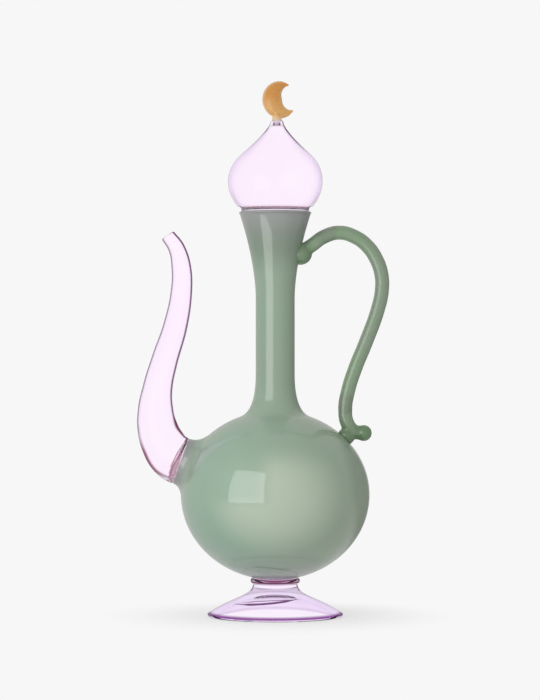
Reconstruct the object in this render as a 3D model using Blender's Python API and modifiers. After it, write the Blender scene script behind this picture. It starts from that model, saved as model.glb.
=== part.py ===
# Glass jug: a blown body, a drawn rod handle, an S-curved spout, a bell foot on a collar,
# and a hollow stopper with a crescent finial, which lifts out of the mouth.
# Metres, +Z up. The jug stands on z = 0, with its spout towards -X and its handle towards +X.

import math

import bmesh
import bpy
from mathutils import Matrix, Vector

MM = 0.001

# Gaps between pieces that touch
FUSE_GAP = 0.3 * MM
PLUG_CLEARANCE = 0.4 * MM
SPIGOT_CLEARANCE = 0.4 * MM

# Foot
FOOT_RADIUS = 44.7 * MM
FOOT_HEIGHT = 21.2 * MM
FOOT_WAIST_RADIUS = 14.7 * MM
FOOT_RIM_WIDTH = 3.4 * MM
FOOT_RIM_HEIGHT = 1.6 * MM
FOOT_RIM_ROUND = 1.2 * MM
FOOT_HOLLOW_HEIGHT = 13.8 * MM
BELL_STEM_PULL = 0.60
BELL_RIM_PULL = (0.50, 0.54)
HOLLOW_PULL = (0.35, 0.62)

# Collar between foot and body
COLLAR_RADIUS = 16.3 * MM
COLLAR_WEB = 2.1 * MM
COLLAR_EDGE_HEIGHT = 3.9 * MM

# Body
BULB_RADIUS = 62.3 * MM
BULB_DROP = 56.3 * MM
BULB_RISE = 55.4 * MM
BODY_WALL = 2.5 * MM
SHOULDER_RADIUS = 23.3 * MM
SHOULDER_BLEND = 24.4 * MM
NECK_RADIUS = 12.9 * MM
NECK_LENGTH = 74.4 * MM
MOUTH_RADIUS = 24.0 * MM
MOUTH_FLARE_LENGTH = 57.0 * MM
MOUTH_FLARE_POWER = 1.7
MOUTH_LIP_ROUND = 0.9 * MM

# Stub that the body is drawn out to for the spout
STUB_RISE_ANGLE = math.radians(19.5)
STUB_LENGTH = 4.6 * MM
STUB_WALL = 2.3 * MM
STUB_FLARE = 6.6 * MM
STUB_FLARE_LENGTH = 11.5 * MM
STUB_FLARE_BEND = 0.55

# Spout: (reach from the joint, height above the joint, outer radius)
SPOUT_WALL = 1.3 * MM
SPOUT_SPIGOT_LENGTH = 7.0 * MM
SPOUT_LIP_WALL = 3.6 * MM
SPOUT_ROUTE = [
    (0.0 * MM, 0.0 * MM, 15.8 * MM),
    (-6.6 * MM, 4.3 * MM, 15.6 * MM),
    (-11.6 * MM, 11.4 * MM, 14.7 * MM),
    (-15.4 * MM, 21.5 * MM, 13.4 * MM),
    (-16.8 * MM, 33.0 * MM, 11.8 * MM),
    (-15.4 * MM, 48.5 * MM, 9.8 * MM),
    (-11.0 * MM, 66.0 * MM, 8.8 * MM),
    (-3.8 * MM, 89.0 * MM, 8.0 * MM),
    (0.2 * MM, 111.2 * MM, 7.1 * MM),
    (0.2 * MM, 128.0 * MM, 6.5 * MM),
    (-3.1 * MM, 140.9 * MM, 5.5 * MM),
    (-8.4 * MM, 148.6 * MM, 4.8 * MM),
]

# Handle: its upper points from the seat on the neck, its lower ones from the seat on the bulb
ROD_RADIUS = 4.7 * MM
HANDLE_BELOW_MOUTH = 28.0 * MM
HANDLE_SEAT_RADIUS = 46.8 * MM
BOSS_HALF_WIDTH = 7.8 * MM
BOSS_HALF_DEPTH = 7.6 * MM
BOSS_HALF_HEIGHT = 7.2 * MM
KNOB_RADIUS = 5.3 * MM
PAD_RADIUS = 5.7 * MM
PAD_HEIGHT = 1.8 * MM
UPPER_LOOP = [
    (1.0 * MM, 1.5 * MM),
    (7.8 * MM, 5.8 * MM),
    (15.4 * MM, 11.2 * MM),
    (25.8 * MM, 14.1 * MM),
    (36.4 * MM, 11.2 * MM),
    (44.6 * MM, 5.0 * MM),
    (50.2 * MM, -3.2 * MM),
    (53.6 * MM, -13.0 * MM),
    (54.0 * MM, -24.0 * MM),
    (51.2 * MM, -37.0 * MM),
]
LOWER_CURL = [
    (12.6 * MM, 62.8 * MM),
    (6.1 * MM, 46.9 * MM),
    (1.2 * MM, 31.4 * MM),
    (-0.6 * MM, 19.4 * MM),
    (1.0 * MM, 10.1 * MM),
    (5.5 * MM, 5.0 * MM),
    (11.6 * MM, 4.0 * MM),
]

# Stopper
DOME_OVERHANG = 7.25 * MM
DOME_BELLY_HEIGHT = 20.1 * MM
DOME_DROP = 27.5 * MM
DOME_RISE = 26.0 * MM
DOME_CROWN_HEIGHT = 37.9 * MM
DOME_HEIGHT = 59.7 * MM
DOME_TIP_RADIUS = 4.2 * MM
DOME_TIP_THICKNESS = 3.0 * MM
DOME_WALL = 1.8 * MM
DOME_LEAN = 0.028
GROOVE_HEIGHT = 2.2 * MM
GROOVE_INSET = 1.6 * MM
GROOVE_LIP = 1.3 * MM
PLUG_LENGTH = 16.0 * MM
PLUG_WALL = 2.0 * MM

# Crescent finial
MOON_RADIUS = 11.35 * MM
MOON_BITE_RADIUS = 9.04 * MM
MOON_BITE_SHIFT = 10.76 * MM
MOON_BITE_ANGLE = math.radians(9.5)
MOON_THICKNESS = 7.6 * MM
MOON_HORN_RADIUS = 0.9 * MM
MOON_HORN_SHARE = 0.95
MOON_KNOTS = 12
MOON_SHIFT = 1.7 * MM
MOON_STEM_RADIUS = 3.0 * MM
MOON_STEM_FLARE = 0.7 * MM
MOON_STEM_LENGTH = 3.2 * MM

# How finely curves are divided
TURNED_STEPS = 40
OUTLINE_STEPS = 8
CUT_PAST = 4.0 * MM

# Heights and places that follow from the sizes
BULB_BOTTOM = FOOT_HEIGHT + COLLAR_WEB + 2 * FUSE_GAP
BULB_MIDDLE = BULB_BOTTOM + BULB_DROP
BULB_TOP = BULB_MIDDLE + BULB_RISE
FLARE_START = BULB_TOP + NECK_LENGTH
MOUTH_HEIGHT = FLARE_START + MOUTH_FLARE_LENGTH


def bezier(points, steps=OUTLINE_STEPS):
    """Points along a Bezier curve of any degree, both ends included."""
    found = []
    for i in range(steps + 1):
        t = i / steps
        row = [Vector(p) for p in points]
        while len(row) > 1:
            row = [a.lerp(b, t) for a, b in zip(row, row[1:])]
        found.append(tuple(row[0]))
    return found


def oval_arc(radius, middle, half_height, start, end, steps=OUTLINE_STEPS):
    """Points on an oval from the start angle to the end angle, 0 being its widest point."""
    found = []
    for i in range(steps + 1):
        angle = start + (end - start) * i / steps
        found.append((radius * math.cos(angle), middle + half_height * math.sin(angle)))
    return found


def inset(outline, depth):
    """The outline moved by depth towards its right-hand side, seen along its direction."""
    moved = []
    for i, (r, z) in enumerate(outline):
        before = outline[max(i - 1, 0)]
        after = outline[min(i + 1, len(outline) - 1)]
        along = Vector((after[0] - before[0], after[1] - before[1])).normalized()
        moved.append((max(r + along.y * depth, 0.0), z - along.x * depth))
    return moved


def bulb_height(radius):
    """Height of the bulb's upper half at this distance from the jug's axis."""
    return BULB_MIDDLE + BULB_RISE * math.sqrt(1 - (radius / BULB_RADIUS) ** 2)


def flare_radius(height):
    """Outer radius of the flared mouth at this height."""
    share = max(height - FLARE_START, 0.0) / MOUTH_FLARE_LENGTH
    return NECK_RADIUS + (MOUTH_RADIUS - NECK_RADIUS) * share**MOUTH_FLARE_POWER


def body_outline():
    """The body's outer side, from the bottom of the bulb to the mouth."""
    shoulder = math.acos(SHOULDER_RADIUS / BULB_RADIUS)
    outline = oval_arc(BULB_RADIUS, BULB_MIDDLE, BULB_DROP, -math.pi / 2, 0.0)
    outline += oval_arc(BULB_RADIUS, BULB_MIDDLE, BULB_RISE, 0.0, shoulder, 7)[1:]
    start = Vector(outline[-1])
    fall = BULB_RISE / BULB_RADIUS / math.tan(shoulder)
    corner = (NECK_RADIUS, start.y + (start.x - NECK_RADIUS) * fall)
    outline += bezier([start, corner, (NECK_RADIUS, BULB_TOP + SHOULDER_BLEND)], 5)[1:]
    for i in range(OUTLINE_STEPS):
        height = FLARE_START + MOUTH_FLARE_LENGTH * i / OUTLINE_STEPS
        outline.append((flare_radius(height), height))
    outline.append((MOUTH_RADIUS, MOUTH_HEIGHT))
    outline[0] = (0.0, BULB_BOTTOM)
    return outline


def stub_direction():
    """The way the spout's stub points, from the middle of the bulb."""
    return Vector((-math.cos(STUB_RISE_ANGLE), 0.0, math.sin(STUB_RISE_ANGLE)))


def spout_joint():
    """Where the stub ends and the spout begins."""
    way = stub_direction()
    to_surface = 1 / math.hypot(way.x / BULB_RADIUS, way.z / BULB_RISE)
    return Vector((0.0, 0.0, BULB_MIDDLE)) + way * (to_surface + STUB_LENGTH)


def handle_route():
    """Centre line of the rod, from the neck to the free end of the curl."""
    top_height = MOUTH_HEIGHT - HANDLE_BELOW_MOUTH
    top = Vector((flare_radius(top_height), 0.0, top_height))
    low = Vector((HANDLE_SEAT_RADIUS, 0.0, bulb_height(HANDLE_SEAT_RADIUS)))
    upper = [top + Vector((out, 0.0, up)) for out, up in UPPER_LOOP]
    lower = [low + Vector((out, 0.0, up)) for out, up in LOWER_CURL]
    return top, low, upper + lower


def axis_place():
    """Where the jug's axis stands, so that the whole jug is centred on the origin."""
    joint = spout_joint()
    left = max(radius - joint.x - out for out, _, radius in SPOUT_ROUTE)
    right = max(point.x for point in handle_route()[2]) + ROD_RADIUS
    return Vector(((left - right) / 2, 0.0, 0.0))


def clear_scene():
    for obj in list(bpy.data.objects):
        bpy.data.objects.remove(obj, do_unlink=True)


def make_collection(name):
    collection = bpy.data.collections.new(name)
    bpy.context.scene.collection.children.link(collection)
    return collection


def make_material(name, color, roughness, transmission):
    material = bpy.data.materials.new(name)
    material.use_nodes = True
    shader = material.node_tree.nodes["Principled BSDF"]
    shader.inputs["Base Color"].default_value = (*color, 1.0)
    shader.inputs["Roughness"].default_value = roughness
    shader.inputs["Metallic"].default_value = 0.0
    shader.inputs["Transmission Weight"].default_value = transmission
    material.diffuse_color = (*color, 1.0)
    return material


def add_object(name, data, collection, parent, place=(0.0, 0.0, 0.0)):
    obj = bpy.data.objects.new(name, data)
    collection.objects.link(obj)
    obj.parent = parent
    obj.location = place
    return obj


def turned(name, outline, collection, parent, place=(0.0, 0.0, 0.0), steps=TURNED_STEPS):
    """A solid turned about Z from an outline that runs down its outer side."""
    mesh = bpy.data.meshes.new(name)
    points = [(r, 0.0, z) for r, z in outline]
    edges = [(i, i + 1) for i in range(len(points) - 1)]
    mesh.from_pydata(points, edges, [])
    obj = add_object(name, mesh, collection, parent, place)
    screw = obj.modifiers.new("turn", "SCREW")
    screw.axis = "Z"
    screw.steps = steps
    screw.render_steps = steps
    screw.use_merge_vertices = True
    screw.merge_threshold = 0.00001
    return obj


def tube(name, route, radii, collection, parent, sides=12, resolution=4):
    """A round bar of changing radius along a smooth route, as a mesh with welded caps."""
    curve = bpy.data.curves.new(name, "CURVE")
    curve.dimensions = "3D"
    curve.bevel_depth = 1.0
    curve.bevel_resolution = (sides - 4) // 2
    curve.resolution_u = resolution
    curve.use_fill_caps = True
    spline = curve.splines.new("BEZIER")
    spline.bezier_points.add(len(route) - 1)
    spline.radius_interpolation = "CARDINAL"
    for knot, place, radius in zip(spline.bezier_points, route, radii):
        knot.co = place
        knot.radius = radius
        knot.handle_left_type = "AUTO"
        knot.handle_right_type = "AUTO"
    guide = add_object(name + "_guide", curve, collection, parent)
    obj = add_object(name, meshed(guide), collection, parent)
    bpy.data.objects.remove(guide)
    return obj


def meshed(obj):
    """The evaluated object's mesh, with doubles welded."""
    bpy.context.view_layer.update()
    graph = bpy.context.evaluated_depsgraph_get()
    mesh = bpy.data.meshes.new_from_object(obj.evaluated_get(graph))
    shape = bmesh.new()
    shape.from_mesh(mesh)
    bmesh.ops.remove_doubles(shape, verts=shape.verts, dist=0.000005)
    bmesh.ops.recalc_face_normals(shape, faces=shape.faces)
    shape.to_mesh(mesh)
    shape.free()
    return mesh


def ball(name, radii, place, collection, parent, segments=16, rings=10):
    """A sphere stretched to three half axes."""
    mesh = bpy.data.meshes.new(name)
    shape = bmesh.new()
    bmesh.ops.create_uvsphere(shape, u_segments=segments, v_segments=rings, radius=1.0)
    bmesh.ops.transform(shape, matrix=Matrix.Diagonal((*radii, 1.0)), verts=shape.verts)
    shape.to_mesh(mesh)
    shape.free()
    return add_object(name, mesh, collection, parent, place)


def as_cutter(obj):
    obj.hide_render = True
    obj.display_type = "WIRE"
    return obj


def combine(obj, other, operation):
    """Adds a Boolean with another object, which becomes a helper."""
    as_cutter(other)
    modifier = obj.modifiers.new(other.name, "BOOLEAN")
    modifier.operation = operation
    modifier.solver = "EXACT"
    modifier.object = other


def finish(obj, material):
    obj.data.materials.append(material)
    obj.data.shade_smooth()


def turn_to(obj, way):
    """Turns an object so that its Z axis points this way."""
    obj.rotation_mode = "QUATERNION"
    obj.rotation_quaternion = way.to_track_quat("Z", "Y")


def make_foot(parts, axis, material):
    """Bell foot, hollow underneath, resting on a flat ring."""
    top = (FOOT_WAIST_RADIUS, FOOT_HEIGHT)
    lift = FOOT_HEIGHT - FOOT_RIM_HEIGHT
    spread = FOOT_RADIUS - FOOT_WAIST_RADIUS
    edge = (FOOT_RADIUS, FOOT_RIM_HEIGHT)
    bell = bezier(
        [
            top,
            (FOOT_WAIST_RADIUS, FOOT_RIM_HEIGHT + BELL_STEM_PULL * lift),
            (
                FOOT_WAIST_RADIUS + BELL_RIM_PULL[0] * spread,
                FOOT_RIM_HEIGHT + BELL_RIM_PULL[1] * lift,
            ),
            edge,
        ]
    )
    ring = FOOT_RADIUS - FOOT_RIM_WIDTH
    hollow = bezier(
        [
            (ring, 0.0),
            (ring - HOLLOW_PULL[0] * ring, HOLLOW_PULL[1] * FOOT_HOLLOW_HEIGHT),
            (HOLLOW_PULL[0] * ring, FOOT_HOLLOW_HEIGHT),
            (0.0, FOOT_HOLLOW_HEIGHT),
        ]
    )
    corner = [(FOOT_RADIUS, 0.0), (FOOT_RADIUS - FOOT_RIM_ROUND, 0.0)]
    outline = [(0.0, FOOT_HEIGHT)] + bell + bezier([edge, *corner], 4)[1:] + hollow
    finish(turned("foot", outline, parts, axis), material)


def make_collar(parts, axis, material, body_space):
    """Rounded disc between foot and bulb. The bulb's underside shapes its top."""
    bottom = FOOT_HEIGHT + FUSE_GAP
    middle = bottom + COLLAR_EDGE_HEIGHT / 2
    bulge = oval_arc(
        COLLAR_EDGE_HEIGHT / 2, middle, COLLAR_EDGE_HEIGHT / 2, math.pi / 2, -math.pi / 2
    )
    inner = COLLAR_RADIUS - COLLAR_EDGE_HEIGHT / 2
    outline = [(0.0, bottom + COLLAR_EDGE_HEIGHT)]
    outline += [(inner + r, z) for r, z in bulge]
    outline.append((0.0, bottom))
    collar = turned("foot_collar", outline, parts, axis)
    combine(collar, body_space, "DIFFERENCE")
    finish(collar, material)


def make_body(parts, cutters, axis, material):
    """Bulb and neck in one, open at the mouth and through the stub."""
    outer = body_outline()
    body = turned("body", [(0.0, MOUTH_HEIGHT)] + outer[::-1], parts, axis)

    joint = spout_joint()
    way = stub_direction()
    radius = SPOUT_ROUTE[0][2]
    root = radius + STUB_FLARE
    flare = bezier(
        [
            (radius, 0.0),
            (radius, -STUB_FLARE_BEND * STUB_FLARE_LENGTH),
            (root, -STUB_FLARE_LENGTH),
        ],
        5,
    )
    buried = -STUB_FLARE_LENGTH - STUB_LENGTH
    stub_outline = [(0.0, 0.0)] + flare + [(root, buried), (0.0, buried)]
    stub = turned("stub", stub_outline, cutters, axis, joint, 32)
    turn_to(stub, way)
    combine(body, stub, "UNION")

    inner = inset(outer, -BODY_WALL)
    inner[0] = (0.0, BULB_BOTTOM + BODY_WALL)
    inner[-1] = (MOUTH_RADIUS - BODY_WALL, MOUTH_HEIGHT - MOUTH_LIP_ROUND)
    lip = [(MOUTH_RADIUS - BODY_WALL + MOUTH_LIP_ROUND, MOUTH_HEIGHT)]
    lip.append((lip[0][0], MOUTH_HEIGHT + CUT_PAST))
    above = [(0.0, MOUTH_HEIGHT + CUT_PAST)]
    hollow = turned("body_hollow", above + (inner + lip)[::-1], cutters, axis)
    combine(body, hollow, "DIFFERENCE")

    bore = radius - STUB_WALL
    past = buried - 3 * CUT_PAST
    bore_outline = [(0.0, CUT_PAST), (bore, CUT_PAST), (bore, past), (0.0, past)]
    stub_bore = turned("stub_bore", bore_outline, cutters, axis, joint, 32)
    turn_to(stub_bore, way)
    combine(body, stub_bore, "DIFFERENCE")
    finish(body, material)

    space_outline = inset(outer, FUSE_GAP)
    space_outline[0] = (0.0, BULB_BOTTOM - FUSE_GAP)
    space_top = [(0.0, MOUTH_HEIGHT + CUT_PAST), (MOUTH_RADIUS, MOUTH_HEIGHT + CUT_PAST)]
    space = turned("body_space", space_top + space_outline[::-1], cutters, axis)
    return as_cutter(space)


def make_spout(parts, cutters, axis, material):
    """S-curved tube with a thick lip and a short spigot that sits in the body's stub."""
    joint = spout_joint()
    way = stub_direction()
    route = [joint + Vector((out, 0.0, up)) for out, up, _ in SPOUT_ROUTE]
    radii = [radius for _, _, radius in SPOUT_ROUTE]
    start = joint - way * CUT_PAST
    spout = tube("spout", [start] + route, radii[:1] + radii, parts, axis, 24, 3)

    reach = 2 * radii[0]
    outline = [(0.0, FUSE_GAP), (reach, FUSE_GAP), (reach, -reach), (0.0, -reach)]
    face = turned("spout_face", outline, cutters, axis, joint, 32)
    turn_to(face, way)
    combine(spout, face, "DIFFERENCE")

    spigot_radius = radii[0] - STUB_WALL - SPIGOT_CLEARANCE
    top = CUT_PAST / 2
    outline = [
        (0.0, top),
        (spigot_radius, top),
        (spigot_radius, -SPOUT_SPIGOT_LENGTH),
        (0.0, -SPOUT_SPIGOT_LENGTH),
    ]
    spigot = turned("spigot", outline, cutters, axis, joint, 32)
    turn_to(spigot, way)
    combine(spout, spigot, "UNION")

    tip = (route[-1] - route[-2]).normalized()
    bore_route = [joint - way * (SPOUT_SPIGOT_LENGTH + CUT_PAST)] + route
    bore_route.append(route[-1] + tip * CUT_PAST)
    bore_radii = [radius - SPOUT_WALL for radius in radii]
    bore_radii[0] = radii[0] - SPOUT_LIP_WALL
    bore_radii = [bore_radii[0]] + bore_radii + [bore_radii[-1]]
    bore = tube("spout_bore", bore_route, bore_radii, cutters, axis, 24, 3)
    combine(spout, bore, "DIFFERENCE")
    finish(spout, material)


def make_handle(parts, cutters, axis, material, body_space):
    """Drawn rod with a boss on the neck, a pad on the bulb and a knob at its free end."""
    top, low, route = handle_route()
    handle = tube("handle", route, [ROD_RADIUS] * len(route), parts, axis, 12, 3)
    boss_size = (BOSS_HALF_WIDTH, BOSS_HALF_DEPTH, BOSS_HALF_HEIGHT)
    boss = ball("boss", boss_size, top, cutters, axis)
    combine(handle, boss, "UNION")
    knob = ball("knob", (KNOB_RADIUS,) * 3, route[-1], cutters, axis)
    combine(handle, knob, "UNION")
    pad_place = low + Vector((0.0, 0.0, PAD_HEIGHT))
    pad = ball("pad", (PAD_RADIUS,) * 3, pad_place, cutters, axis)
    combine(handle, pad, "UNION")
    combine(handle, body_space, "DIFFERENCE")
    finish(handle, material)


def dome_outline():
    """The dome's outer side from its tip down to the groove above the mouth."""
    belly = MOUTH_RADIUS + DOME_OVERHANG
    crown = math.asin((DOME_CROWN_HEIGHT - DOME_BELLY_HEIGHT) / DOME_RISE)
    low = -math.asin((DOME_BELLY_HEIGHT - GROOVE_HEIGHT - GROOVE_LIP) / DOME_DROP)
    top = oval_arc(belly, DOME_BELLY_HEIGHT, DOME_RISE, crown, 0.0, 5)
    bottom = oval_arc(belly, DOME_BELLY_HEIGHT, DOME_DROP, 0.0, low, 5)
    shoulder = Vector(top[0])
    fall = DOME_RISE / belly / math.tan(crown)
    corner = (DOME_TIP_RADIUS, shoulder.y + (shoulder.x - DOME_TIP_RADIUS) * fall)
    ogee = bezier([(DOME_TIP_RADIUS, DOME_HEIGHT), corner, shoulder], 7)
    return ogee + top[1:] + bottom[1:]


def make_stopper(parts, seat, material):
    """Hollow onion dome on a tapered plug, open at the bottom."""
    outer = dome_outline()
    groove = MOUTH_RADIUS - GROOVE_INSET
    mouth_bore = MOUTH_RADIUS - BODY_WALL
    plug_top = mouth_bore - PLUG_CLEARANCE
    plug_low = flare_radius(MOUTH_HEIGHT - PLUG_LENGTH) - BODY_WALL - PLUG_CLEARANCE
    plug_foot = (plug_low - PLUG_CLEARANCE, -PLUG_LENGTH)
    inner = inset(outer, DOME_WALL)[::-1]
    inner[-1] = (DOME_TIP_RADIUS - DOME_WALL, DOME_HEIGHT - DOME_TIP_THICKNESS)
    outline = [(0.0, DOME_HEIGHT)] + outer
    outline += [(groove, GROOVE_HEIGHT), (groove, FUSE_GAP), (plug_top, FUSE_GAP)]
    outline += [plug_foot, (plug_foot[0] - PLUG_WALL, -PLUG_LENGTH)]
    outline.append((plug_top - PLUG_WALL, 0.0))
    outline += inner
    outline.append((0.0, DOME_HEIGHT - DOME_TIP_THICKNESS))
    turning = turned("stopper_turning", outline, parts, seat)
    stopper = add_object("stopper", meshed(turning), parts, seat)
    bpy.data.objects.remove(turning)
    for vertex in stopper.data.vertices:
        vertex.co.x += DOME_LEAN * max(vertex.co.z - DOME_BELLY_HEIGHT, 0.0)
    finish(stopper, material)


def make_moon(parts, cutters, seat, material):
    """Crescent finial on a short stem, fused to the tip of the dome."""
    bite = MOON_BITE_SHIFT
    half = (MOON_RADIUS**2 + bite**2 - MOON_BITE_RADIUS**2) / (2 * MOON_RADIUS * bite)
    outer_reach = math.pi - math.acos(half)
    half = (MOON_BITE_RADIUS**2 + bite**2 - MOON_RADIUS**2) / (2 * MOON_BITE_RADIUS * bite)
    inner_reach = math.acos(half)
    back = MOON_BITE_ANGLE + math.pi
    bite_middle = Vector((math.cos(MOON_BITE_ANGLE), math.sin(MOON_BITE_ANGLE))) * bite
    tip_x = DOME_LEAN * (DOME_HEIGHT - DOME_BELLY_HEIGHT)
    stem_foot = DOME_HEIGHT + FUSE_GAP
    middle = Vector((tip_x + MOON_SHIFT, 0.0, stem_foot + MOON_STEM_LENGTH + MOON_RADIUS))
    middle.z -= MOON_STEM_FLARE

    route, radii = [], []
    for i in range(MOON_KNOTS + 1):
        share = (2 * i / MOON_KNOTS - 1) * MOON_HORN_SHARE
        angle = back + share * outer_reach
        outside = Vector((math.cos(angle), math.sin(angle))) * MOON_RADIUS
        angle = back + share * inner_reach
        inside = Vector((math.cos(angle), math.sin(angle))) * MOON_BITE_RADIUS + bite_middle
        between = (outside + inside) / 2
        route.append(Vector((between.x, 0.0, between.y)))
        radii.append(max((outside - inside).length / 2, MOON_HORN_RADIUS))
    moon = tube("moon_finial", route, radii, parts, seat, 16, 2)
    moon.data.transform(Matrix.Diagonal((1.0, MOON_THICKNESS / 2 / max(radii), 1.0, 1.0)))
    moon.data.transform(Matrix.Translation(middle))

    stem_top = MOON_STEM_LENGTH + MOON_RADIUS / 2
    outline = [(0.0, stem_top), (MOON_STEM_RADIUS, stem_top)]
    foot_radius = MOON_STEM_RADIUS + MOON_STEM_FLARE
    outline += bezier(
        [(MOON_STEM_RADIUS, MOON_STEM_LENGTH), (MOON_STEM_RADIUS, 0.0), (foot_radius, 0.0)], 3
    )
    outline.append((0.0, 0.0))
    stem = turned("moon_stem", outline, cutters, seat, (tip_x, 0.0, stem_foot), 20)
    combine(moon, stem, "UNION")
    finish(moon, material)


def main():
    clear_scene()
    parts = make_collection("glass_jug")
    cutters = make_collection("glass_jug_helpers")
    green = make_material("green_opal_glass", (0.292, 0.407, 0.309), 0.08, 0.4)
    rod_green = make_material("green_rod_glass", (0.202, 0.305, 0.188), 0.05, 0.4)
    pink = make_material("pink_clear_glass", (0.965, 0.855, 0.982), 0.0, 0.95)
    orange = make_material("orange_opal_glass", (0.644, 0.342, 0.089), 0.1, 0.3)

    axis = add_object("jug_axis", None, parts, None, axis_place())
    seat = add_object("stopper_seat", None, parts, axis, (0.0, 0.0, MOUTH_HEIGHT))

    body_space = make_body(parts, cutters, axis, green)
    make_foot(parts, axis, pink)
    make_collar(parts, axis, pink, body_space)
    make_spout(parts, cutters, axis, pink)
    make_handle(parts, cutters, axis, rod_green, body_space)
    make_stopper(parts, seat, pink)
    make_moon(parts, cutters, seat, orange)


main()
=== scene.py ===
import math

import bmesh
import bpy
from mathutils import Matrix, Vector
from mathutils.kdtree import KDTree


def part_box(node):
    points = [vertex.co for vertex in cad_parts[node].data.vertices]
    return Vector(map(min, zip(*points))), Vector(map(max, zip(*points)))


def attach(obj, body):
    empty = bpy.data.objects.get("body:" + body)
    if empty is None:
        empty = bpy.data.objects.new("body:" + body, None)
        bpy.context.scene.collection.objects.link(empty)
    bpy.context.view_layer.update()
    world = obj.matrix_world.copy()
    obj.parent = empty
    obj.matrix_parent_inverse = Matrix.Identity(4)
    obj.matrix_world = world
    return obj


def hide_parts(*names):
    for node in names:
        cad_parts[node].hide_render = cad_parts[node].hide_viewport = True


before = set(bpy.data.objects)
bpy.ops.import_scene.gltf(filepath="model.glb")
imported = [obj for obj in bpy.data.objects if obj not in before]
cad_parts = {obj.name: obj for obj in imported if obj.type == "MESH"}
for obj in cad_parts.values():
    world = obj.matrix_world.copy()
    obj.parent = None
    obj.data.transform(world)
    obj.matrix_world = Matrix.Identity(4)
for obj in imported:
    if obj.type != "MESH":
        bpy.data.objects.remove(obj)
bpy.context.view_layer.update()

# The pieces are modelled in millimetres round the jug's own axis, then brought into the frame in metres
mm = 0.001
mergeReach = 0.002
footLow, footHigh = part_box("foot")
axisX = (footLow.x + footHigh.x) / 2
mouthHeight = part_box("body")[1].z / mm
intoFrame = Matrix.Translation((axisX, 0, 0)) @ Matrix.Scale(mm, 4)
print("frame loaded, jug axis at x =", round(axisX, 5), "mouth at", round(mouthHeight, 2))


# Outlines and routes
def bezierCurve(points, steps):
    found = []
    for i in range(steps + 1):
        row = [Vector(p) for p in points]
        while len(row) > 1:
            row = [a.lerp(b, i / steps) for a, b in zip(row, row[1:])]
        found.append(row[0])
    return found


def ovalArc(radius, middle, halfHeight, start, end, steps):
    angles = [start + (end - start) * i / steps for i in range(steps + 1)]
    return [Vector((radius * math.cos(a), middle + halfHeight * math.sin(a))) for a in angles]


def shiftRight(outline, depth):
    # moves an outline towards its right-hand side
    moved = []
    for i, point in enumerate(outline):
        onward = (outline[min(i + 1, len(outline) - 1)] - outline[max(i - 1, 0)]).normalized()
        moved.append(Vector((max(point.x + onward.y * depth, 0), point.y - onward.x * depth)))
    return moved


def smoothRoute(knots, steps, firstWay=None):
    # a smooth curve through the knots: (place, way, share of the route in knots) for each step
    pull = 0.39042  # how far each knot's direction holds, as a share of the way to the next knot
    ways = []
    for i, knot in enumerate(knots):
        before = knot - knots[i - 1] if i else knots[1] - knot
        after = knots[i + 1] - knot if i + 1 < len(knots) else before
        ways.append((before.normalized() + after.normalized()).normalized())
    if firstWay:
        ways[0] = firstWay
    found = []
    for i in range(len(knots) - 1):
        span = (knots[i + 1] - knots[i]).length * pull
        cage = [knots[i], knots[i] + ways[i] * span, knots[i + 1] - ways[i + 1] * span, knots[i + 1]]
        places = bezierCurve(cage, steps)
        for j in range(steps + (i + 2 == len(knots))):
            way = (places[min(j + 1, steps)] - places[max(j - 1, 0)]).normalized()
            found.append((places[j], ways[i] if j == 0 else way, i + j / steps))
    found[-1] = (knots[-1], ways[-1], float(len(knots) - 1))
    return found


def along(values, at):
    # a smooth reading of a list of values between its knots
    i = min(int(at), len(values) - 2)
    t = at - i
    a, b, c, d = [values[min(max(i + k, 0), len(values) - 1)] for k in (-1, 0, 1, 2)]
    return b + t * ((c - a) / 2 + t * (a - 2.5 * b + 2 * c - d / 2 + t * (1.5 * (b - c) + (d - a) / 2)))


def smoothStep(low, high, value):
    t = min(max((value - low) / (high - low), 0), 1)
    return t * t * (3 - 2 * t)


def rimStart(width, radius):
    # how far a tube turns away, as Layer Weight's Facing says it, where a rim of this width begins
    return 1 - math.sqrt(1 - (1 - width / radius) ** 2)


# Shapes
def turnOutline(shape, outline, steps, foot=Vector((0, 0, 0)), way=Vector((0, 0, 1))):
    # spins (radius, height) points round the line through foot that points along way
    side = way.orthogonal().normalized() if abs(way.z) < 0.999 else Vector((1, 0, 0))
    verts = [shape.verts.new(foot + side * p[0] + way * p[1]) for p in outline]
    edges = [shape.edges.new(pair) for pair in zip(verts, verts[1:])]
    bmesh.ops.spin(
        shape, geom=verts + edges, cent=foot, axis=way, angle=math.tau, steps=steps, use_merge=True
    )
    bmesh.ops.remove_doubles(shape, verts=shape.verts, dist=mergeReach)


def ringTube(shape, rings, sides):
    # skins circles given as (centre, way, radius), in the plane y = 0, with one ring extruded to the next
    def placed(ring):
        centre, way, radius = ring
        turn = Vector((0, 0, 1)).rotation_difference(way).to_matrix().to_4x4()
        return Matrix.Translation(centre) @ turn @ Matrix.Scale(radius, 4)

    made = bmesh.ops.create_circle(shape, segments=sides, radius=1, matrix=placed(rings[0]))
    verts = made["verts"]
    edges = list({e for v in verts for e in v.link_edges})
    firstEdges = edges
    for before, ring in zip(rings, rings[1:]):
        made = bmesh.ops.extrude_edge_only(shape, edges=edges)["geom"]
        verts = [g for g in made if isinstance(g, bmesh.types.BMVert)]
        edges = [g for g in made if isinstance(g, bmesh.types.BMEdge) and all(v in verts for v in g.verts)]
        bmesh.ops.transform(shape, matrix=placed(ring) @ placed(before).inverted(), verts=verts)
    return firstEdges, edges


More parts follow.
